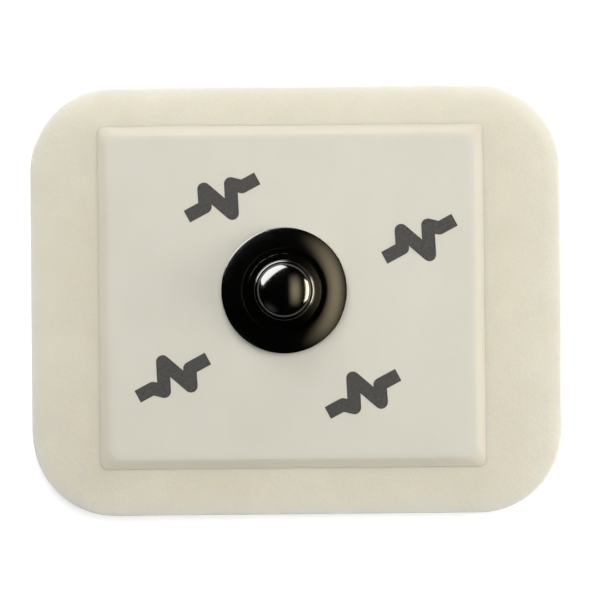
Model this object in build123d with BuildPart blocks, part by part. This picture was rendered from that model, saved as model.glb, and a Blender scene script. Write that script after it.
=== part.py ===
from build123d import *
import math
import os

# A disposable monitoring electrode, in millimetres, as it lies on a table with its liner still on.
# The origin is the centre of the pad's outline, on the underside of the liner. +X runs along the
# pad's longer side, and +Z points up, out of the snap stud.

# Pad outline, die-cut through foam and liner
pad_length = 40.0
pad_width = 32.3
pad_corner_radius = 6.35

# Release liner: clear film
liner_thickness = 0.125

# Foam tape: closed-cell foam with a round well for the gel
foam_thickness = 1.6
foam_edge_round = 1.0
well_diameter = 17.0

# Cover label, stuck on the foam over the well, its edge pressed down to a slope
label_length = 28.9
label_width = 25.7
label_thickness = 0.45
label_corner_radius = 0.5
label_edge_thickness = 0.1
label_slope_width = 0.65
label_slope_corner_radius = 0.2
label_shift_x = -0.33
label_shift_y = 0.25

# Axis of the stud, the eyelet and the gel, a little off the pad's centre
stud_x = -0.87
stud_y = 0.72

# Eyelet: coated disc under the label, with a post that holds the stud
eyelet_diameter = 9.8
eyelet_disc_thickness = 0.6
eyelet_edge_chamfer = 0.15
post_diameter = 2.0
post_length_in_stud = 2.3
post_tip_chamfer = 0.2
post_to_label_clearance = 0.1
post_to_bore_clearance = 0.02
bore_end_clearance = 0.15

# Snap stud, with heights above the label
flange_diameter = 9.4
flange_edge_height = 0.45
flange_edge_round = 0.15
flange_seat_chamfer = 0.1
rim_crown_radius = 6.6
rim_crown_offset = 2.66
groove_outer_diameter = 6.3
groove_inner_diameter = 5.5
groove_floor_height = 0.35
ledge_outer_height = 0.56
ledge_inner_height = 0.6
boss_foot_diameter = 4.5
boss_diameter = 4.46
boss_edge_round = 0.3
boss_height = 1.35
neck_length = 0.5
head_diameter = 4.0
head_undercut = 0.45
head_lower_lip_height = 0.15
head_lower_round = 0.35
head_band_height = 0.65
head_shoulder_radius = 0.5
head_crown_radius = 4.3

# Gel: solid disc cast round the eyelet
gel_to_well_clearance = 0.05

# Levels of the stack, from the liner up
foam_bottom = liner_thickness
foam_top = foam_bottom + foam_thickness
label_top = foam_top + label_thickness

# Radii that follow from the sizes above
head_radius = head_diameter / 2
neck_radius = head_radius - head_undercut
post_radius = post_diameter / 2
flange_radius = flange_diameter / 2
groove_outer_radius = groove_outer_diameter / 2
groove_inner_radius = groove_inner_diameter / 2

stud_axis = Axis((stud_x, stud_y, 0), (0, 0, 1))


def level(height):
    # Flat plane at this height, centred on the stud's axis
    return Plane(origin=(stud_x, stud_y, height))


def label_level(height):
    # Flat plane at this height, centred on the label
    return Plane(origin=(label_shift_x, label_shift_y, height))


def section(height):
    # Upright plane through the stud's axis: its X is the radius, its Y the height above this level
    return Plane(origin=(stud_x, stud_y, height), x_dir=(1, 0, 0), z_dir=(0, -1, 0))


os.makedirs("parts", exist_ok=True)

# Release liner
with BuildPart() as release_liner:
    with BuildSketch(Plane.XY):
        RectangleRounded(pad_length, pad_width, pad_corner_radius)
    extrude(amount=liner_thickness)

release_liner.part.label = "release_liner"
export_step(release_liner.part, "parts/release_liner.step")

# Foam tape, its top edge crushed round by the die
with BuildPart() as foam_tape:
    with BuildSketch(Plane.XY.offset(foam_bottom)):
        RectangleRounded(pad_length, pad_width, pad_corner_radius)
    extrude(amount=foam_thickness)
    fillet(foam_tape.faces().sort_by(Axis.Z)[-1].edges(), foam_edge_round)
    with BuildSketch(level(foam_bottom)):
        Circle(well_diameter / 2)
    extrude(amount=foam_thickness, mode=Mode.SUBTRACT)

foam_tape.part.label = "foam_tape"
export_step(foam_tape.part, "parts/foam_tape.step")

# Cover label: a thin edge, a slope up from it, and a hole for the eyelet's post
with BuildPart() as top_label:
    with BuildSketch(label_level(foam_top)):
        RectangleRounded(label_length, label_width, label_corner_radius)
    extrude(amount=label_edge_thickness)
    with BuildSketch(label_level(foam_top + label_edge_thickness)):
        RectangleRounded(label_length, label_width, label_corner_radius)
    with BuildSketch(label_level(label_top)):
        RectangleRounded(
            label_length - 2 * label_slope_width,
            label_width - 2 * label_slope_width,
            label_slope_corner_radius,
        )
    loft(ruled=True)
    with BuildSketch(level(foam_top)):
        Circle(post_radius + post_to_label_clearance)
    extrude(amount=label_thickness, mode=Mode.SUBTRACT)

top_label.part.label = "top_label"
export_step(top_label.part, "parts/top_label.step")

# Eyelet: sensing disc under the label, and the post that passes up into the stud
with BuildPart() as sensor_eyelet:
    with BuildSketch(level(foam_top)):
        Circle(eyelet_diameter / 2)
    extrude(amount=-eyelet_disc_thickness)
    chamfer(sensor_eyelet.faces().sort_by(Axis.Z)[0].edges(), eyelet_edge_chamfer)
    with BuildSketch(level(foam_top)):
        Circle(post_radius)
    extrude(amount=label_thickness + post_length_in_stud)
    chamfer(sensor_eyelet.faces().sort_by(Axis.Z)[-1].edges(), post_tip_chamfer)

sensor_eyelet.part.label = "sensor_eyelet"
export_step(sensor_eyelet.part, "parts/sensor_eyelet.step")

# Snap stud: crowned head, undercut neck, round boss, ledge, groove and crowned rim, with a blind bore
sharp = 0
neck_top = boss_height + neck_length
band_bottom = neck_top + head_lower_lip_height
band_top = band_bottom + head_band_height
shoulder_to_crown = head_crown_radius - head_shoulder_radius
crown_angle = math.asin((head_radius - head_shoulder_radius) / shoulder_to_crown)
stud_height = band_top + head_crown_radius - shoulder_to_crown * math.cos(crown_angle)
edge_to_rim = rim_crown_radius - flange_edge_round
rim_end_angle = math.asin((flange_radius - flange_edge_round - rim_crown_offset) / edge_to_rim)
rim_start_angle = math.asin((groove_outer_radius - rim_crown_offset) / rim_crown_radius)
rim_start_height = (
    flange_edge_height
    - edge_to_rim * math.cos(rim_end_angle)
    + rim_crown_radius * math.cos(rim_start_angle)
)
with BuildPart() as snap_stud:
    with BuildSketch(section(label_top)):
        with BuildLine():
            crown = JernArc(
                (0, stud_height), (1, 0), head_crown_radius, -math.degrees(crown_angle)
            )
            shoulder = JernArc(
                crown @ 1, crown % 1, head_shoulder_radius, math.degrees(crown_angle) - 90
            )
            body = FilletPolyline(
                shoulder @ 1,
                (head_radius, band_bottom),
                (neck_radius, neck_top),
                (neck_radius, boss_height),
                (boss_diameter / 2, boss_height),
                (boss_foot_diameter / 2, ledge_inner_height),
                (groove_inner_radius, ledge_outer_height),
                (groove_inner_radius, groove_floor_height),
                (groove_outer_radius, groove_floor_height),
                (groove_outer_radius, rim_start_height),
                radius=[
                    head_lower_round,
                    sharp,
                    sharp,
                    boss_edge_round,
                    sharp,
                    sharp,
                    sharp,
                    sharp,
                ],
            )
            rim = JernArc(
                body @ 1,
                (math.cos(rim_start_angle), -math.sin(rim_start_angle)),
                rim_crown_radius,
                math.degrees(rim_start_angle - rim_end_angle),
            )
            edge = JernArc(
                rim @ 1, rim % 1, flange_edge_round, math.degrees(rim_end_angle) - 90
            )
            Polyline(edge @ 1, (flange_radius, 0), (0, 0), (0, stud_height))
        make_face()
    revolve(axis=stud_axis)
    with BuildSketch(level(label_top)):
        Circle(post_radius + post_to_bore_clearance)
    extrude(amount=post_length_in_stud + bore_end_clearance, mode=Mode.SUBTRACT)
    chamfer(snap_stud.faces().sort_by(Axis.Z)[0].edges(), flange_seat_chamfer)

snap_stud.part.label = "snap_stud"
export_step(snap_stud.part, "parts/snap_stud.step")

# Gel pad, which fills the well under the label and takes the form of the eyelet
with BuildPart() as gel_pad:
    with BuildSketch(level(foam_bottom)):
        Circle(well_diameter / 2 - gel_to_well_clearance)
    extrude(amount=foam_thickness)
    add(sensor_eyelet.part, mode=Mode.SUBTRACT)

gel_pad.part.label = "gel_pad"
export_step(gel_pad.part, "parts/gel_pad.step")
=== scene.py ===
import math

import bmesh
import bpy
from mathutils import Matrix, Quaternion, Vector, noise


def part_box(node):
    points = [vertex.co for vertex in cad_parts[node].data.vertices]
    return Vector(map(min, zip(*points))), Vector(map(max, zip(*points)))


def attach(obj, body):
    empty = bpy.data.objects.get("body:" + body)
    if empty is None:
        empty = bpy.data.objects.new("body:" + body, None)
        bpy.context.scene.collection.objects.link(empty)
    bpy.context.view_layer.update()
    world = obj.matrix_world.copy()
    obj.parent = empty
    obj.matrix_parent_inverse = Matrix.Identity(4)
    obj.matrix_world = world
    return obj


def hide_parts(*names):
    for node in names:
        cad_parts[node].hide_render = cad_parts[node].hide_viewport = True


# A disposable monitoring electrode, seen from straight above on a pale table. Lengths are in metres.

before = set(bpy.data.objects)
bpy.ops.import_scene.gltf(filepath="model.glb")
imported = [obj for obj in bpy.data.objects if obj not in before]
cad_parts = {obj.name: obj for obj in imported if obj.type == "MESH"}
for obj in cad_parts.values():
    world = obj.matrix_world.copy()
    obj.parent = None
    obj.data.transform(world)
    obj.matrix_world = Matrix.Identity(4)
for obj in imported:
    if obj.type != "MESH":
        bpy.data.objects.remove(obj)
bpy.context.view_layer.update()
MM = 0.001

# Levels and places that the frame gives
foam_low, foam_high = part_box("foam_tape")
label_low, label_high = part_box("top_label")
stud_low, stud_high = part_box("snap_stud")
gel_low, gel_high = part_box("gel_pad")
eyelet_low, eyelet_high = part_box("sensor_eyelet")
STUD_AXIS = Vector(((stud_low.x + stud_high.x) / 2, (stud_low.y + stud_high.y) / 2))
LABEL_CENTRE = Vector(((label_low.x + label_high.x) / 2, (label_low.y + label_high.y) / 2))
PAD_LENGTH = foam_high.x - foam_low.x
PAD_WIDTH = foam_high.y - foam_low.y
LABEL_LENGTH = label_high.x - label_low.x
LABEL_WIDTH = label_high.y - label_low.y
FOAM_BOTTOM, FOAM_TOP = foam_low.z, foam_high.z
LABEL_TOP = label_high.z
FLANGE_RADIUS = (stud_high.x - stud_low.x) / 2
EYELET_RADIUS = (eyelet_high.x - eyelet_low.x) / 2
GEL_RADIUS = (gel_high.x - gel_low.x) / 2


# Meshes


def new_piece(name, bm, smooth=True):
    bmesh.ops.recalc_face_normals(bm, faces=bm.faces)
    mesh = bpy.data.meshes.new(name)
    bm.to_mesh(mesh)
    bm.free()
    for polygon in mesh.polygons:
        polygon.use_smooth = smooth
    piece = bpy.data.objects.new(name, mesh)
    bpy.context.scene.collection.objects.link(piece)
    return piece


def rounded_outline(length, width, radius, centre, per_side, per_corner):
    # Points of a rounded rectangle, anticlockwise, the same number on each side whatever its size
    points = []
    half = Vector((length / 2 - radius, width / 2 - radius))
    for quarter in range(4):
        a0 = quarter * math.pi / 2
        sign = Vector(((1, -1, -1, 1)[quarter], (1, 1, -1, -1)[quarter]))
        hub = centre + Vector((half.x * sign.x, half.y * sign.y))
        corner = [
            hub + radius * Vector((math.cos(a0 + t), math.sin(a0 + t)))
            for t in (math.pi / 2 * k / per_corner for k in range(per_corner + 1))
        ]
        next_sign = Vector(((-1, -1, 1, 1)[quarter], (1, -1, -1, 1)[quarter]))
        next_hub = centre + Vector((half.x * next_sign.x, half.y * next_sign.y))
        a1 = a0 + math.pi / 2
        start = next_hub + radius * Vector((math.cos(a1), math.sin(a1)))
        points += corner
        points += [corner[-1].lerp(start, k / per_side) for k in range(1, per_side)]
    return points


def circle_like(outline, centre, radius):
    # The point of a circle that faces each point of the outline
    return [centre + radius * (p - centre).normalized() for p in outline]


def ring_solid(name, loops):
    # A closed ring-shaped mesh from closed loops of (x, y, z), the last joined to the first
    bm = bmesh.new()
    rows = [[bm.verts.new(p) for p in loop] for loop in loops]
    count = len(rows[0])
    for a, b in zip(rows, rows[1:] + rows[:1]):
        for i in range(count):
            j = (i + 1) % count
            bm.faces.new((a[i], a[j], b[j], b[i]))
    return new_piece(name, bm)


def at_height(outline, z):
    return [(p.x, p.y, z) for p in outline]


def turned_solid(name, profile, axis, steps):
    # Turns a half section, listed from the axis round to the axis, into a closed solid
    bm = bmesh.new()
    rings = []
    for radius, z in profile:
        if radius < 1e-9:
            rings.append([bm.verts.new((axis.x, axis.y, z))])
            continue
        rings.append(
            [
                bm.verts.new(
                    (
                        axis.x + radius * math.cos(2 * math.pi * k / steps),
                        axis.y + radius * math.sin(2 * math.pi * k / steps),
                        z,
                    )
                )
                for k in range(steps)
            ]
        )
    for a, b in zip(rings, rings[1:]):
        for i in range(steps):
            j = (i + 1) % steps
            corners = [a[i % len(a)], a[j % len(a)], b[j % len(b)], b[i % len(b)]]
            bm.faces.new(list(dict.fromkeys(corners)))
    return new_piece(name, bm)


def rounded_profile(points, radii, step=math.radians(7)):
    # Rounds the corners of an open polyline, one radius for each inner point
    line = [Vector(points[0])]
    for before, corner, after, radius in zip(points, points[1:], points[2:], radii):
        before, corner, after = Vector(before), Vector(corner), Vector(after)
        come, go = (corner - before).normalized(), (after - corner).normalized()
        turn = come.angle_signed(go)
        if radius == 0 or abs(turn) < 1e-6:
            line.append(corner)
            continue
        reach = radius * math.tan(abs(turn) / 2)
        start = corner - come * reach
        side = math.copysign(1, turn)
        hub = start + Vector((come.y, -come.x)) * radius * side
        pieces = max(2, math.ceil(abs(turn) / step))
        for k in range(pieces + 1):
            spin = Matrix.Rotation(-turn * k / pieces, 2)
            line.append(hub + spin @ (start - hub))
    line.append(Vector(points[-1]))
    return line


# Materials


class Nodes:
    """Short calls to build a material's nodes.

    Texture scales are in features a metre, so that 1000 gives features of about 1 mm.
    """

    def __init__(self, name):
        self.material = bpy.data.materials.new(name)
        self.material.use_nodes = True
        self.tree = self.material.node_tree
        self.shader = self.tree.nodes["Principled BSDF"]
        self.place = self.add("ShaderNodeTexCoord").outputs["Object"]

    def add(self, kind, **settings):
        node = self.tree.nodes.new(kind)
        for key, value in settings.items():
            setattr(node, key, value)
        return node

    def join(self, source, target):
        self.tree.links.new(source, target)

    def set(self, **values):
        for key, value in values.items():
            self.shader.inputs[key.replace("_", " ")].default_value = value

    def noise(self, scale, detail=4.0, roughness=0.5):
        node = self.add("ShaderNodeTexNoise")
        node.inputs["Scale"].default_value = scale
        node.inputs["Detail"].default_value = detail
        node.inputs["Roughness"].default_value = roughness
        self.join(self.place, node.inputs["Vector"])
        return node.outputs["Fac"]

    def cells(self, scale):
        node = self.add("ShaderNodeTexVoronoi", feature="F1")
        node.inputs["Scale"].default_value = scale
        self.join(self.place, node.inputs["Vector"])
        return node.outputs["Distance"]

    def ramp(self, value, low, high, colour_low, colour_high):
        node = self.add("ShaderNodeValToRGB")
        first, last = node.color_ramp.elements[0], node.color_ramp.elements[1]
        first.position, first.color = low, (*colour_low, 1)
        last.position, last.color = high, (*colour_high, 1)
        self.join(value, node.inputs["Fac"])
        return node.outputs["Color"]

    def mix(self, share, first, second):
        node = self.add("ShaderNodeMix", data_type="RGBA")
        self.join(share, node.inputs["Factor"])
        self.join(first, node.inputs["A"])
        self.join(second, node.inputs["B"])
        return node.outputs["Result"]

    def spread(self, value, low, high, to_low, to_high):
        node = self.add("ShaderNodeMapRange")
        for key, number in (
            ("From Min", low), ("From Max", high), ("To Min", to_low), ("To Max", to_high)
        ):
            node.inputs[key].default_value = number
        self.join(value, node.inputs["Value"])
        return node.outputs["Result"]

    def bump(self, height, distance, strength=1.0, under=None):
        node = self.add("ShaderNodeBump")
        node.inputs["Strength"].default_value = strength
        node.inputs["Distance"].default_value = distance
        self.join(height, node.inputs["Height"])
        if under:
            self.join(under, node.inputs["Normal"])
        return node.outputs["Normal"]

    def wear(self, colour=None, roughness=None, normal=None):
        for key, value in (("Base Color", colour), ("Roughness", roughness), ("Normal", normal)):
            if value:
                self.join(value, self.shader.inputs[key])
        return self.material


# Shares from 0 to 1 that a piece carries on its points and its material reads
# Painted light: the foam's colour lightens from the label's edge out to the pad's outline, as if lit
# through its edge
PAINTED_EDGE_LIGHT = "painted_edge_light"
# Painted glare: a paler, greyer band on the foam along the pad's outline
OUTLINE_GLARE = "rim"
PRESSED = "pressed"


def foam_material():
    n = Nodes("foam_skin")
    n.set(IOR=1.45, Specular_IOR_Level=0.15)
    n.shader.inputs["Subsurface Weight"].default_value = 0.7
    n.shader.inputs["Subsurface Scale"].default_value = 1.2 * MM
    n.shader.inputs["Subsurface Radius"].default_value = (1.0, 0.8, 0.55)
    mottle = n.noise(260, detail=5, roughness=0.6)
    # The outer copy is the foam's colour lightened to paint the light that shows through near the
    # outline
    inner = n.ramp(mottle, 0.3, 0.72, (0.628, 0.589, 0.471), (0.668, 0.632, 0.511))
    outer = n.ramp(mottle, 0.3, 0.72, (0.665, 0.637, 0.534), (0.705, 0.679, 0.577))
    edge_light_share = n.add("ShaderNodeAttribute", attribute_name=PAINTED_EDGE_LIGHT).outputs["Fac"]
    # The pale colour paints the white table's glare into the band along the outline
    pale = n.ramp(mottle, 0.3, 0.72, (0.635, 0.630, 0.590), (0.675, 0.670, 0.630))
    rim = n.add("ShaderNodeAttribute", attribute_name=OUTLINE_GLARE).outputs["Fac"]
    colour = n.mix(rim, n.mix(edge_light_share, inner, outer), pale)
    cells = n.cells(3800)
    grain = n.noise(9000, detail=3)
    relief = n.bump(cells, 0.02 * MM, 0.55)
    relief = n.bump(grain, 0.012 * MM, 0.5, under=relief)
    return n.wear(colour, n.spread(grain, 0.3, 0.7, 0.7, 0.9), relief)


def adhesive_material():
    n = Nodes("skin_adhesive")
    n.set(IOR=1.47)
    n.shader.inputs["Coat Weight"].default_value = 0.5
    n.shader.inputs["Coat Roughness"].default_value = 0.25
    streaks = n.noise(700, detail=4)
    colour = n.ramp(streaks, 0.35, 0.7, (0.56, 0.52, 0.40), (0.62, 0.585, 0.47))
    return n.wear(colour, n.spread(streaks, 0.3, 0.7, 0.3, 0.5), n.bump(streaks, 0.02 * MM, 0.5))


def label_material():
    n = Nodes("label_face")
    n.set(IOR=1.45, Specular_IOR_Level=0.15)
    n.shader.inputs["Subsurface Weight"].default_value = 0.15
    n.shader.inputs["Subsurface Scale"].default_value = 0.3 * MM
    n.shader.inputs["Subsurface Radius"].default_value = (1.0, 0.8, 0.6)
    tone = n.noise(180, detail=5, roughness=0.55)
    flat = n.ramp(tone, 0.3, 0.72, (0.590, 0.571, 0.490), (0.618, 0.599, 0.519))
    edge = n.ramp(tone, 0.3, 0.72, (0.606, 0.561, 0.453), (0.634, 0.587, 0.477))
    pressed = n.add("ShaderNodeAttribute", attribute_name=PRESSED).outputs["Fac"]
    colour = n.mix(pressed, flat, edge)
    grain = n.noise(5200, detail=5, roughness=0.65)
    fine = n.noise(14000, detail=2)
    relief = n.bump(grain, 0.01 * MM, 0.5)
    relief = n.bump(fine, 0.005 * MM, 0.4, under=relief)
    return n.wear(colour, n.spread(grain, 0.3, 0.7, 0.68, 0.86), relief)


def ink_material():
    n = Nodes("printed_ink")
    n.set(IOR=1.45, Specular_IOR_Level=0.08)
    grain = n.noise(6500, detail=5, roughness=0.7)
    colour = n.ramp(grain, 0.32, 0.75, (0.038, 0.037, 0.035), (0.085, 0.083, 0.078))
    return n.wear(colour, n.spread(grain, 0.3, 0.7, 0.7, 0.9), n.bump(grain, 0.004 * MM, 0.4))


def stud_material():
    n = Nodes("stud_moulding")
    n.set(IOR=1.52)
    flow = n.noise(900, detail=3)
    colour = n.ramp(flow, 0.3, 0.75, (0.0006, 0.00055, 0.0005), (0.0012, 0.0011, 0.001))
    fine = n.noise(5200, detail=4, roughness=0.6)
    return n.wear(colour, n.spread(fine, 0.35, 0.7, 0.08, 0.125), n.bump(flow, 0.006 * MM, 0.35))


def sensor_material():
    n = Nodes("sensor_coating")
    n.set(Metallic=0.35)
    patches = n.noise(1100, detail=6, roughness=0.65)
    colour = n.ramp(patches, 0.3, 0.72, (0.42, 0.42, 0.41), (0.6, 0.6, 0.585))
    grain = n.noise(15000, detail=3)
    return n.wear(colour, n.spread(patches, 0.3, 0.7, 0.38, 0.6), n.bump(grain, 0.006 * MM, 0.5))


def gel_material():
    n = Nodes("wet_gel")
    n.set(IOR=1.36, Alpha=0.62)
    n.shader.inputs["Subsurface Weight"].default_value = 0.3
    n.shader.inputs["Subsurface Scale"].default_value = 1.0 * MM
    n.shader.inputs["Coat Weight"].default_value = 0.8
    n.shader.inputs["Coat Roughness"].default_value = 0.05
    cloud = n.noise(420, detail=4)
    colour = n.ramp(cloud, 0.3, 0.7, (0.58, 0.64, 0.65), (0.7, 0.75, 0.75))
    return n.wear(colour, n.spread(cloud, 0.3, 0.7, 0.12, 0.24), n.bump(cloud, 0.03 * MM, 0.4))


def liner_material():
    n = Nodes("liner_film")
    n.set(IOR=1.57, Alpha=0.3)
    haze = n.noise(240, detail=4)
    colour = n.ramp(haze, 0.3, 0.7, (0.82, 0.85, 0.87), (0.9, 0.92, 0.93))
    return n.wear(colour, n.spread(haze, 0.3, 0.7, 0.08, 0.18), n.bump(haze, 0.02 * MM, 0.3))


TABLE_GLOW_NEAR, TABLE_GLOW_FAR = 0.26, 0.75
GLOW_NEAR_REACH, GLOW_FAR_REACH = 0.1, 0.5


def table_material():
    # The table glows a little, and more with distance, so that it shows white all over
    n = Nodes("table_top")
    n.set(Roughness=0.75, Specular_IOR_Level=0.2)
    tone = n.noise(30, detail=4)
    distance = n.add("ShaderNodeVectorMath", operation="LENGTH")
    n.join(n.place, distance.inputs[0])
    glow = n.spread(
        distance.outputs["Value"], GLOW_NEAR_REACH, GLOW_FAR_REACH, TABLE_GLOW_NEAR, TABLE_GLOW_FAR
    )
    n.shader.inputs["Emission Color"].default_value = (1, 1, 1, 1)
    n.join(glow, n.shader.inputs["Emission Strength"])
    return n.wear(n.ramp(tone, 0.3, 0.7, (0.9, 0.9, 0.895), (0.92, 0.92, 0.915)))


def dress(piece, *materials):
    piece.data.materials.clear()
    for material in materials:
        piece.data.materials.append(material)


# Foam tape with a soft die-cut edge and its gel well

PAD_CORNER = 6.35 * MM
WELL_RADIUS = GEL_RADIUS + 0.05 * MM
EDGE_WIDTH = 0.15 * MM
EDGE_DROP = 0.3 * MM
EDGE_STEPS = 6
ROLL_WIDTH = 1.4 * MM
ROLL_DROP = 0.28 * MM
ROLL_STEPS = 14
ROLL_AT_SIDES, ROLL_LESS_TO_RIGHT = 0.38, 0.05
ROLL_AT_CORNERS, ROLL_MORE_TO_RIGHT, ROLL_MORE_TO_TOP = 0.5, 0.2, 0.4
RIM_WIDTH = 0.8 * MM
SIDE_SWELL = 0.05 * MM
SWELL_LOW, SWELL_HIGH = 0.02 * MM, 0.12 * MM
WELL_LIP = 0.4 * MM
FOAM_COUNTS = (22, 16)
FOAM_UNDER_STEPS = 8
FACE_STEPS = 24
FOAM_WAVE = 0.015 * MM
SLOPE_LEFT, SLOPE_RIGHT = math.tan(math.radians(7.5)), math.tan(math.radians(2))
SLOPE_TOP, SLOPE_BOTTOM = math.tan(math.radians(9)), math.tan(math.radians(5))


def ripple(point, scale, smoothness):
    # A smooth random share from 0 to 1, the same in every run
    return 0.5 + 0.5 * max(-1, min(1, noise.fractal(point * scale, smoothness, 2.0, 3)))


def round_edge(t):
    # Inward and downward shares of a quarter ellipse, from the side wall (0) to the flat top (1)
    return 1 - math.cos(t * math.pi / 2), 1 - math.sin(t * math.pi / 2)


EASED_SHARE = 0.3


def pressed_edge(t):
    # Inward and downward shares of an edge pressed into a slope, soft at its foot and its brow
    straight, eased = 1 - t, (1 + math.cos(math.pi * t)) / 2
    return t, (1 - EASED_SHARE) * straight + EASED_SHARE * eased


def edge_loops(length, width, corners, centre, top, drop, inset, steps, counts, form):
    # Loops from the outer side wall, over the soft edge, to the flat top
    loops = []
    for k in range(steps + 1):
        inward_share, down_share = form(k / steps)
        inward = inset * inward_share
        z = top - drop * down_share
        radius = corners[0] + (corners[1] - corners[0]) * inward_share
        outline = rounded_outline(
            length - 2 * inward, width - 2 * inward, radius, centre, *counts
        )
        loops.append(at_height(outline, z))
    return loops


def flat_loops(outer, inner, z, steps):
    # Loops over a flat face, between an outer and an inner outline
    return [
        [(*p.lerp(q, k / steps), z) for p, q in zip(outer, inner)] for k in range(1, steps + 1)
    ]


def reach_off_label(point):
    # How far a point lies outside the label's outline, along X and along Y
    beside = max(abs(point.x - LABEL_CENTRE.x) - LABEL_LENGTH / 2, 0)
    beyond = max(abs(point.y - LABEL_CENTRE.y) - LABEL_WIDTH / 2, 0)
    return beside, beyond


def margin_fall(point):
    # How far the foam's face falls away beyond the label's edge
    beside, beyond = reach_off_label(point)
    across = SLOPE_LEFT if point.x < LABEL_CENTRE.x else SLOPE_RIGHT
    along = SLOPE_BOTTOM if point.y < LABEL_CENTRE.y else SLOPE_TOP
    return math.hypot(beside * across, beyond * along)


def outline_distance(point):
    # How far inside the pad's outline a point is
    beside = max(abs(point.x) - PAD_LENGTH / 2 + PAD_CORNER, 0)
    beyond = max(abs(point.y) - PAD_WIDTH / 2 + PAD_CORNER, 0)
    return max(PAD_CORNER - math.hypot(beside, beyond), 0)


def margin_share(point):
    # From 0 at the label's edge to 1 at the pad's outline
    to_outline = outline_distance(point)
    off_label = math.hypot(*reach_off_label(point))
    return off_label / (off_label + to_outline) if off_label else 0


def roll_fall(point):
    # How far the die rolled the foam's face down near its outline, most at the upper right corner
    u, v = 2 * point.x / PAD_LENGTH, 2 * point.y / PAD_WIDTH
    side = ROLL_AT_SIDES - ROLL_LESS_TO_RIGHT * u
    corner = (ROLL_AT_CORNERS + ROLL_MORE_TO_RIGHT * u + ROLL_MORE_TO_TOP * v) * (u * v) ** 2
    return ROLL_DROP * (side + corner) * max(1 - outline_distance(point) / ROLL_WIDTH, 0) ** 2


def foam_pad():
    counts = FOAM_COUNTS
    centre = Vector((0, 0))
    outline = rounded_outline(PAD_LENGTH, PAD_WIDTH, PAD_CORNER, centre, *counts)
    tucked = rounded_outline(
        PAD_LENGTH - 2 * SIDE_SWELL, PAD_WIDTH - 2 * SIDE_SWELL, PAD_CORNER - SIDE_SWELL, centre,
        *counts,
    )
    well = circle_like(outline, STUD_AXIS, WELL_RADIUS)
    wide_well = circle_like(outline, STUD_AXIS, WELL_RADIUS + WELL_LIP)
    side_top = FOAM_TOP - EDGE_DROP
    loops = [at_height(well, FOAM_BOTTOM)]
    loops += flat_loops(well, wide_well, FOAM_BOTTOM, 1)
    loops += flat_loops(wide_well, tucked, FOAM_BOTTOM, FOAM_UNDER_STEPS)
    loops += [
        at_height(tucked, FOAM_BOTTOM + SWELL_LOW),
        at_height(outline, FOAM_BOTTOM + SWELL_HIGH),
        at_height(outline, (FOAM_BOTTOM + SWELL_HIGH + side_top) / 2),
    ]
    loops += edge_loops(
        PAD_LENGTH, PAD_WIDTH, (PAD_CORNER, PAD_CORNER - EDGE_WIDTH), centre, FOAM_TOP, EDGE_DROP,
        EDGE_WIDTH, EDGE_STEPS, counts, round_edge,
    )
    for k in range(1, ROLL_STEPS + 1):
        inward = EDGE_WIDTH + (ROLL_WIDTH - EDGE_WIDTH) * k / ROLL_STEPS
        brow = rounded_outline(
            PAD_LENGTH - 2 * inward, PAD_WIDTH - 2 * inward, PAD_CORNER - inward, centre, *counts
        )
        loops.append(at_height(brow, FOAM_TOP))
    loops += flat_loops(brow, wide_well, FOAM_TOP, FACE_STEPS)
    loops += flat_loops(wide_well, well, FOAM_TOP, 1)
    loops += [at_height(well, (FOAM_TOP + FOAM_BOTTOM) / 2)]
    piece = ring_solid("foam_pad", loops)
    for share in (PAINTED_EDGE_LIGHT, OUTLINE_GLARE):
        piece.data.attributes.new(share, "FLOAT", "POINT")
    painted_edge_light, rim = (piece.data.attributes[share].data for share in (PAINTED_EDGE_LIGHT, OUTLINE_GLARE))
    for vertex in piece.data.vertices:
        height_share = (vertex.co.z - FOAM_BOTTOM) / (FOAM_TOP - FOAM_BOTTOM)
        wave = FOAM_WAVE * ripple(vertex.co, scale=260, smoothness=0.6)
        sag = wave + margin_fall(vertex.co) + roll_fall(vertex.co)
        # Share of painted light on the foam, from 0 at the label's edge to 1 at the outline
        painted_edge_light[vertex.index].value = margin_share(vertex.co)
        # Share of painted glare, 1 at the outline and 0 a rim's width inside it
        rim[vertex.index].value = max(1 - outline_distance(vertex.co) / RIM_WIDTH, 0)
        vertex.co.z -= sag * max(0, height_share)
    dress(piece, foam_material(), adhesive_material())
    for polygon in piece.data.polygons:
        if polygon.center.z < FOAM_BOTTOM + SWELL_LOW / 4:
            polygon.material_index = 1
    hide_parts("foam_tape")
    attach(piece, "root")


# Cover label, its edge pressed soft, with the hole for the eyelet's post

LABEL_CORNER = 0.5 * MM
LABEL_BROW_CORNER = 1.1 * MM
LABEL_EDGE_WIDTH = 0.74 * MM
LABEL_THICKNESS = LABEL_TOP - FOAM_TOP
LABEL_EDGE_STEPS = 12
LABEL_SINK = 0.02 * MM
POST_HOLE_RADIUS = 1.1 * MM
LABEL_WAVE = 0.012 * MM
FULLY_PRESSED = 0.3
LABEL_COUNTS = (40, 8)
SEAT_MARGIN = 0.25 * MM
LABEL_UNDER_STEPS, SEAT_STEPS = 4, 6
CROWN_START = 5.0 * MM
CROWN_REACH = 7.0 * MM
CROWN_FALL = 0.12 * MM


def label_level(point, z):
    # The label's face falls a little from the stud to the label's edge
    share = max(0, min(1, ((point - STUD_AXIS).length - CROWN_START) / CROWN_REACH))
    return FOAM_TOP + (z - FOAM_TOP) * (1 - CROWN_FALL * share ** 2 / LABEL_THICKNESS)


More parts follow.
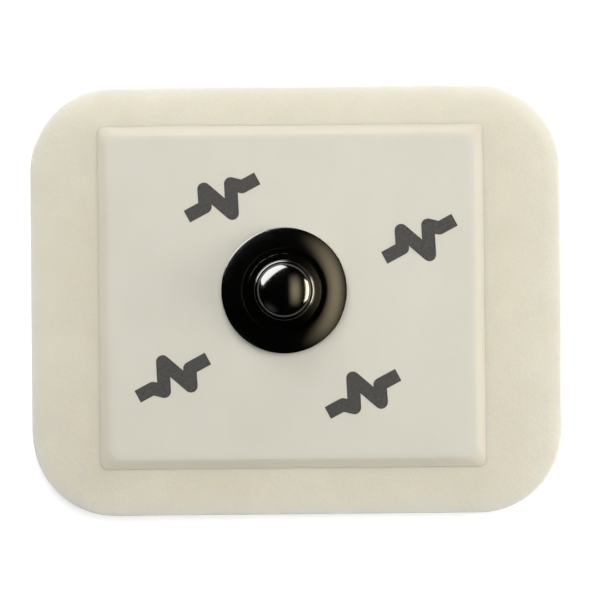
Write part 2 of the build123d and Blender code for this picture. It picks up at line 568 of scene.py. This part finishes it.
def cover_label():
    counts = LABEL_COUNTS
    outline = rounded_outline(LABEL_LENGTH, LABEL_WIDTH, LABEL_CORNER, LABEL_CENTRE, *counts)
    hole = circle_like(outline, STUD_AXIS, POST_HOLE_RADIUS)
    seat = circle_like(outline, STUD_AXIS, FLANGE_RADIUS + SEAT_MARGIN)
    loops = [at_height(hole, FOAM_TOP - LABEL_SINK)]
    loops += flat_loops(hole, outline, FOAM_TOP - LABEL_SINK, LABEL_UNDER_STEPS)
    edge = edge_loops(
        LABEL_LENGTH, LABEL_WIDTH, (LABEL_CORNER, LABEL_BROW_CORNER), LABEL_CENTRE, LABEL_TOP,
        LABEL_THICKNESS, LABEL_EDGE_WIDTH, LABEL_EDGE_STEPS, counts, pressed_edge,
    )
    loops += edge
    brow = [Vector(p[:2]) for p in edge[-1]]
    loops += flat_loops(brow, seat, LABEL_TOP, FACE_STEPS)
    loops += flat_loops(seat, hole, LABEL_TOP, SEAT_STEPS)
    piece = ring_solid("cover_label", loops)
    # The hidden underside stays out of the slope's smooth shading
    for polygon in piece.data.polygons:
        polygon.use_smooth = polygon.center.z > FOAM_TOP
    pressed = piece.data.attributes.new(PRESSED, "FLOAT", "POINT")
    for vertex in piece.data.vertices:
        fall = (LABEL_TOP - vertex.co.z) / LABEL_THICKNESS
        pressed.data[vertex.index].value = min(1, fall / FULLY_PRESSED)
        if vertex.co.z > FOAM_TOP:
            vertex.co.z = label_level(vertex.co.xy, vertex.co.z)
            vertex.co.z -= LABEL_WAVE * ripple(vertex.co, scale=210, smoothness=0.7)
    dress(piece, label_material())
    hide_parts("top_label")
    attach(piece, "root")


# Printed marks: a plain pulse trace, four times, where the label carries print

MARK_PLACES_MM = ((-5.45, 7.72), (9.28, 4.49), (-9.27, -5.72), (4.95, -7.07))
MARK_TURNS = (math.radians(208), math.radians(208), math.radians(28), math.radians(28))
MARK_TRACE_MM = (
    (-3.0, 0.0), (-1.7, 0.0), (-1.05, -0.6), (-0.1, 1.4), (0.9, -1.2), (1.45, 0.0), (3.0, 0.0),
)
MARK_STROKE = 1.0 * MM
INK_THICKNESS = 0.012 * MM


def stroke_side(trace, half_width):
    # The left side of a thick line: mitred inside its turns, rounded outside them
    side = []
    for i, point in enumerate(trace):
        before = (point - trace[i - 1]).normalized() if i else None
        after = (trace[i + 1] - point).normalized() if i + 1 < len(trace) else None
        before, after = before or after, after or before
        left = Vector((-before.y, before.x))
        turn = -before.angle_signed(after)
        if turn >= 0:
            bisector = Matrix.Rotation(turn / 2, 2) @ left
            side.append(point + bisector * half_width / math.cos(turn / 2))
            continue
        steps = math.ceil(-turn / math.radians(20))
        for k in range(steps + 1):
            side.append(point + Matrix.Rotation(turn * k / steps, 2) @ left * half_width)
    return side


def pulse_mark(name, place, turn, ink):
    spin = Matrix.Rotation(turn, 2)
    trace = [spin @ (Vector(p) * MM) + place for p in MARK_TRACE_MM]
    outline = stroke_side(trace, MARK_STROKE / 2) + stroke_side(trace[::-1], MARK_STROKE / 2)
    bm = bmesh.new()
    low = [bm.verts.new((*p, label_level(p, LABEL_TOP) - 2 * LABEL_WAVE)) for p in outline]
    high = [bm.verts.new((*p, label_level(p, LABEL_TOP) + INK_THICKNESS)) for p in outline]
    bm.faces.new(low)
    bm.faces.new(high)
    for i in range(len(outline)):
        j = (i + 1) % len(outline)
        bm.faces.new((low[i], low[j], high[j], high[i]))
    bmesh.ops.triangulate(bm, faces=bm.faces)
    piece = new_piece(name, bm, smooth=False)
    dress(piece, ink)
    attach(piece, "root")


def printed_marks():
    ink = ink_material()
    for i, (place, turn) in enumerate(zip(MARK_PLACES_MM, MARK_TURNS)):
        pulse_mark(f"printed_mark_{i + 1}", Vector(place) * MM, turn, ink)


# Snap stud, turned from a section like the solid's, given as radius and height above the label

STUD_STEPS = 192
HEAD_RADIUS = 2.0 * MM
SHOULDER_RADIUS = 0.5 * MM
CROWN_RADIUS = 4.3 * MM
HEAD_BAND_TOP = 2.65 * MM
GROOVE_OUTER_RADIUS = 3.15 * MM
RIM_HUB_RADIUS = 2.66 * MM
RIM_CROWN_RADIUS = 6.6 * MM
FLANGE_EDGE_HEIGHT = 0.45 * MM
FLANGE_EDGE_ROUND = 0.03 * MM
BORE_RADIUS = 1.02 * MM
BORE_DEPTH = 2.45 * MM
SEAT_CHAMFER = 0.1 * MM
BODY_CORNERS_MM = (
    (2.0, 2.0), (1.55, 1.85), (1.55, 1.35), (2.23, 1.35), (2.25, 0.6), (2.75, 0.575), (2.75, 0.35),
    (3.15, 0.35),
)
BODY_ROUNDS_MM = (0.35, 0.1, 0.05, 0.14, 0.03, 0.01, 0.01, 0.01, 0.02)


def turned_arc(hub_radius, hub_height, radius, start, end, steps):
    # Points of an arc in the section, its angles measured from straight up, outwards
    return [
        Vector((hub_radius + radius * math.sin(t), hub_height + radius * math.cos(t)))
        for t in (start + (end - start) * k / steps for k in range(steps + 1))
    ]


def snap_stud():
    crown_angle = math.asin((HEAD_RADIUS - SHOULDER_RADIUS) / (CROWN_RADIUS - SHOULDER_RADIUS))
    crown_hub = HEAD_BAND_TOP - (CROWN_RADIUS - SHOULDER_RADIUS) * math.cos(crown_angle)
    crown = turned_arc(0, crown_hub, CROWN_RADIUS, 0, crown_angle, 10)
    shoulder = turned_arc(
        HEAD_RADIUS - SHOULDER_RADIUS, HEAD_BAND_TOP, SHOULDER_RADIUS, crown_angle, math.pi / 2, 16
    )
    edge_hub = FLANGE_RADIUS - FLANGE_EDGE_ROUND
    rim_reach = RIM_CROWN_RADIUS - FLANGE_EDGE_ROUND
    rim_start = math.asin((GROOVE_OUTER_RADIUS - RIM_HUB_RADIUS) / RIM_CROWN_RADIUS)
    rim_angle = math.asin((edge_hub - RIM_HUB_RADIUS) / rim_reach)
    rim_hub = FLANGE_EDGE_HEIGHT - rim_reach * math.cos(rim_angle)
    rim = turned_arc(RIM_HUB_RADIUS, rim_hub, RIM_CROWN_RADIUS, rim_start, rim_angle, 12)
    edge = turned_arc(
        edge_hub, FLANGE_EDGE_HEIGHT, FLANGE_EDGE_ROUND, rim_angle, math.pi / 2, 10
    )
    corners = [shoulder[-1], *(Vector(p) * MM for p in BODY_CORNERS_MM), rim[0], rim[1]]
    body = rounded_profile(corners, [r * MM for r in BODY_ROUNDS_MM])
    seat = [
        Vector((FLANGE_RADIUS, 0)), Vector((BORE_RADIUS + SEAT_CHAMFER, 0)),
        Vector((BORE_RADIUS, SEAT_CHAMFER)), Vector((BORE_RADIUS, BORE_DEPTH)),
        Vector((0, BORE_DEPTH)),
    ]
    profile = crown + shoulder[1:] + body[1:] + rim[2:] + edge[1:] + seat
    piece = turned_solid(
        "stud_turned", [(p.x, p.y + LABEL_TOP) for p in profile], STUD_AXIS, STUD_STEPS
    )
    dress(piece, stud_material())
    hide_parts("snap_stud")
    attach(piece, "root")


# Gel, filling the well round the eyelet, drawn up a little at its wall

EYELET_THICKNESS = 0.6 * MM
EYELET_CHAMFER = 0.15 * MM
GEL_STEPS = 128
MENISCUS = 0.12 * MM


def gel_disc():
    r, e, z0, z1 = GEL_RADIUS, EYELET_RADIUS, gel_low.z, gel_high.z
    disc_low = z1 - EYELET_THICKNESS
    profile = [
        (0, z0), (e * 0.5, z0), (e, z0), (r - 2 * MENISCUS, z0), (r - MENISCUS, z0),
        (r - 0.3 * MENISCUS, z0 + 0.3 * MENISCUS), (r, z0 + MENISCUS), (r, z1),
        (e, z1), (e, disc_low + EYELET_CHAMFER), (e - EYELET_CHAMFER, disc_low), (e * 0.5, disc_low),
        (0, disc_low),
    ]
    piece = turned_solid("gel_disc", profile, STUD_AXIS, GEL_STEPS)
    dress(piece, gel_material())
    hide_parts("gel_pad")
    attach(piece, "root")


# Camera, straight above, as far off as a close-up lens would be

PHOTO_SIDE_PX = 600
PHOTO_CENTRE_PX = Vector((296.0, 300.0))
PAD_LENGTH_PX = 532
TURN_IN_PHOTO = math.radians(0.55)
CAMERA_HEIGHT = 0.14
SENSOR_MM = 36


def camera():
    scale = PAD_LENGTH / PAD_LENGTH_PX
    view_width = PHOTO_SIDE_PX * scale
    offset = Vector(
        (PHOTO_SIDE_PX / 2 - PHOTO_CENTRE_PX.x, PHOTO_CENTRE_PX.y - PHOTO_SIDE_PX / 2)
    ) * scale
    spin = Matrix.Rotation(-TURN_IN_PHOTO, 2)
    offset = spin @ offset
    widest = FOAM_TOP - EDGE_DROP
    data = bpy.data.cameras.new("camera")
    data.sensor_width = SENSOR_MM
    data.lens = SENSOR_MM * CAMERA_HEIGHT / view_width
    data.clip_start = 0.01
    data.clip_end = 10
    eye = bpy.data.objects.new("camera", data)
    eye.location = (offset.x, offset.y, widest + CAMERA_HEIGHT)
    eye.rotation_euler = (0, 0, -TURN_IN_PHOTO)
    bpy.context.scene.collection.objects.link(eye)
    bpy.context.scene.camera = eye


# Lights: azimuth anticlockwise from +X seen from above, elevation above the table, in degrees


def area_light(name, azimuth, elevation, distance, width, height, radiance, colour=(1, 1, 1),
               diffuse=True, glossy=True, soft=False, turn=0):
    a, e = math.radians(azimuth), math.radians(elevation)
    way = Vector((math.cos(e) * math.cos(a), math.cos(e) * math.sin(a), math.sin(e)))
    data = bpy.data.lights.new(name, "AREA")
    data.shape = "RECTANGLE"
    data.size, data.size_y = width, height
    data.energy = radiance * math.pi * width * height
    data.color = colour
    if soft:
        fade_to_edges(data)
    light = bpy.data.objects.new(name, data)
    light.location = Vector((STUD_AXIS.x, STUD_AXIS.y, LABEL_TOP)) + way * distance
    light.rotation_mode = "QUATERNION"
    about_upright = Quaternion((0, 0, 1), math.radians(turn))
    light.rotation_quaternion = about_upright @ (-way).to_track_quat("-Z", "Y")
    light.visible_camera = False
    light.visible_diffuse = diffuse
    light.visible_glossy = glossy
    bpy.context.scene.collection.objects.link(light)


def fade_to_edges(data):
    # Brightest in the middle of the panel, dark at its edges
    data.use_nodes = True
    tree = data.node_tree

    def calculate(operation, first, second):
        node = tree.nodes.new("ShaderNodeMath")
        node.operation = operation
        for socket, value in zip(node.inputs, (first, second)):
            if isinstance(value, (int, float)):
                socket.default_value = value
            else:
                tree.links.new(value, socket)
        return node.outputs["Value"]

    split = tree.nodes.new("ShaderNodeSeparateXYZ")
    across = tree.nodes.new("ShaderNodeNewGeometry").outputs["Parametric"]
    tree.links.new(across, split.inputs["Vector"])
    shares = [
        calculate("MULTIPLY", calculate("MULTIPLY", u, 4), calculate("SUBTRACT", 1, u))
        for u in (split.outputs["X"], split.outputs["Y"])
    ]
    strength = calculate("POWER", calculate("MULTIPLY", *shares), 2)
    tree.links.new(strength, tree.nodes["Emission"].inputs["Strength"])


def lights():
    # What lights the pad
    area_light("side_from_right", -5, 22, 0.2, 0.13, 0.09, 5.5, glossy=False)
    area_light("side_from_top", 105, 28, 0.2, 0.13, 0.09, 4.3, glossy=False)
    area_light("fill_overhead", 85, 80, 0.3, 0.36, 0.36, 2.26, glossy=False)
    # What shows in the black stud
    area_light("window", 121, 26.8, 0.3, 0.38, 0.275, 21.0, colour=(1, 0.99, 0.96), diffuse=False,
               turn=10)
    area_light("right_wall", 1, 67.5, 0.3, 0.43, 0.17, 4.5, colour=(1, 0.83, 0.54), diffuse=False,
               soft=True)
    area_light("right_strip", -1, 24, 0.3, 0.26, 0.24, 25.0, colour=(1, 0.91, 0.7), diffuse=False)
    area_light("low_glow", 232, 38, 0.3, 0.2, 0.2, 0.6, diffuse=False, soft=True)


# The room: pale near the horizon and dark overhead, and dimmer in reflections

HORIZON_GLOW = 0.55
HORIZON_IN_GLOSS = 0.08
PALE_UP_TO, DARK_FROM = 0.1, 0.4


def surroundings():
    world = bpy.data.worlds.new("room")
    world.use_nodes = True
    tree = world.node_tree
    back = tree.nodes["Background"]
    way = tree.nodes.new("ShaderNodeTexCoord").outputs["Generated"]
    split = tree.nodes.new("ShaderNodeSeparateXYZ")
    tree.links.new(way, split.inputs["Vector"])
    ramp = tree.nodes.new("ShaderNodeValToRGB")
    horizon, zenith = ramp.color_ramp.elements[0], ramp.color_ramp.elements[1]
    horizon.position, horizon.color = PALE_UP_TO, (1, 1, 1, 1)
    zenith.position, zenith.color = DARK_FROM, (0, 0, 0, 1)
    tree.links.new(split.outputs["Z"], ramp.inputs["Fac"])
    tree.links.new(ramp.outputs["Color"], back.inputs["Color"])
    strength = tree.nodes.new("ShaderNodeMapRange")
    strength.inputs["To Min"].default_value = HORIZON_GLOW
    strength.inputs["To Max"].default_value = HORIZON_IN_GLOSS
    mirrored = tree.nodes.new("ShaderNodeLightPath").outputs["Is Glossy Ray"]
    tree.links.new(mirrored, strength.inputs["Value"])
    tree.links.new(strength.outputs["Result"], back.inputs["Strength"])
    bpy.context.scene.world = world


TABLE_SIDE = 3.0
TABLE_GAP = 0.02 * MM


def table_top():
    bm = bmesh.new()
    bmesh.ops.create_grid(bm, x_segments=8, y_segments=8, size=TABLE_SIDE / 2)
    floor = new_piece("table_top", bm, smooth=False)
    floor.location.z = -TABLE_GAP
    dress(floor, table_material())


camera()
surroundings()
table_top()
lights()
foam_pad()
cover_label()
printed_marks()
snap_stud()
gel_disc()
dress(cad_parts["sensor_eyelet"], sensor_material())
dress(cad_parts["release_liner"], liner_material())
bpy.context.scene.view_settings.view_transform = "Standard"

bpy.context.view_layer.update()
